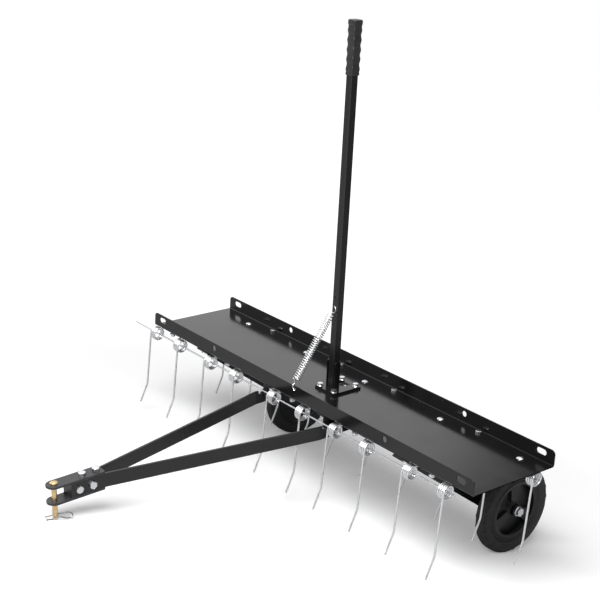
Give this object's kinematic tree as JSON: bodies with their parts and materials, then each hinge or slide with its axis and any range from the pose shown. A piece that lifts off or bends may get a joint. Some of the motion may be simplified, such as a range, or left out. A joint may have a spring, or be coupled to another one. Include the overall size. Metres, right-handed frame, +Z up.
{
  "type": "tow-behind dethatcher",
  "caption": "Long black tray on two wheels with rows of double spring tines below, a V towbar with a pin hitch in front and a sprung lift lever that lowers the tines.",
  "frame": {"origin": "on the ground, at the middle of the parked machine's bounding box", "axes": "+X along the tray, across the direction of travel, to the right as seen from the hitch end looking rearward with the lever upright; +Y to the rear, towards the wheels; +Z up. The machine is parked on its two wheels and the foot of the hitch pin, so the tray is nose-down by about 12 degrees."},
  "size_m": [1.093, 0.9776, 0.9824],
  "materials": {
    "black_paint": "glossy powder coat",
    "bar_paint": "semi-gloss powder coat",
    "strap_paint": "satin powder coat",
    "zinc": "bright zinc plate",
    "spring_wire": "bright zinc plate on spring wire",
    "yellow_zinc": "yellow zinc plate",
    "rim_plastic": "moulded black",
    "tyre": "semi-pneumatic rubber",
    "grip_rubber": "soft black sleeve"
  },
  "bodies": {
    "chassis": {"tray_floor": "black_paint", "tray_flange_front": "black_paint", "tray_flange_rear": "black_paint", "guide_plate": "black_paint", "guide_plate_bolts": "zinc", "pivot_bracket_left": "bar_paint", "pivot_bracket_right": "bar_paint", "pivot_bracket_bolts": "zinc", "hinge_bolts": "zinc", "wheel_bracket_left": "bar_paint", "wheel_bracket_right": "bar_paint", "wheel_bracket_bolts": "zinc", "axle_bolt_left": "zinc", "axle_bolt_right": "zinc", "tine_rod_front": "zinc", "tine_rod_rear": "zinc", "tine_bolts_front": "zinc", "tine_bolts_rear": "zinc", "tine_front_1": "spring_wire", "tine_front_2": "spring_wire", "tine_front_3": "spring_wire", "tine_front_4": "spring_wire", "tine_front_5": "spring_wire", "tine_rear_1": "spring_wire", "tine_rear_2": "spring_wire", "tine_rear_3": "spring_wire", "tine_rear_4": "spring_wire", "tine_rear_5": "spring_wire"},
    "towbar": {"drawbar_left": "bar_paint", "drawbar_right": "bar_paint", "cross_channel": "bar_paint", "channel_bolts": "zinc", "hitch_strap_top": "strap_paint", "hitch_strap_bottom": "strap_paint", "hitch_spacer": "strap_paint", "hitch_side_bolts": "zinc", "hitch_strap_bolts": "zinc", "lift_lever": "bar_paint", "lever_grip": "grip_rubber", "lever_bolts": "zinc"},
    "wheel_left": {"wheel_rim_left": "rim_plastic", "wheel_tyre_left": "tyre"},
    "wheel_right": {"wheel_rim_right": "rim_plastic", "wheel_tyre_right": "tyre"},
    "hitch_pin": {"hitch_pin": "yellow_zinc"},
    "hitch_clip": {"hitch_clip": "zinc"},
    "lever_spring": {"lever_spring": "spring_wire"}
  },
  "joints": [
    {"name": "lever_swing", "type": "hinge", "parent": "chassis", "child": "towbar", "pos_m": [0.0385, 0.07624, 0.18823], "axis": [-1, 0, 0], "range_deg": [0, 18], "stiffness_Nm_per_rad": 20, "springref_deg": -17.19, "deforming": ["lever_spring"]},
    {"name": "spring_swing", "type": "hinge", "parent": "chassis", "child": "lever_spring", "pos_m": [0.0385, 0.04892, 0.24609], "axis": [-1, 0, 0], "range_deg": [0, 21.58]},
    {"name": "wheel_left_spin", "type": "hinge", "parent": "chassis", "child": "wheel_left", "pos_m": [-0.304, 0.39381, 0.095], "axis": [1, 0, 0], "continuous": true},
    {"name": "wheel_right_spin", "type": "hinge", "parent": "chassis", "child": "wheel_right", "pos_m": [0.381, 0.39381, 0.095], "axis": [1, 0, 0], "continuous": true},
    {"name": "pin_lift", "type": "slide", "parent": "towbar", "child": "hitch_pin", "axis": [0, -0.244, 0.9698], "range_m": [0, 0.024]},
    {"name": "clip_pull", "type": "slide", "parent": "hitch_pin", "child": "hitch_clip", "axis": [0.1736, 0.955, 0.2403], "range_m": [0, 0.034]}
  ],
  "couplings": [
    {"joint": "spring_swing", "follows": "lever_swing", "ratio": 1.1824}
  ]
}
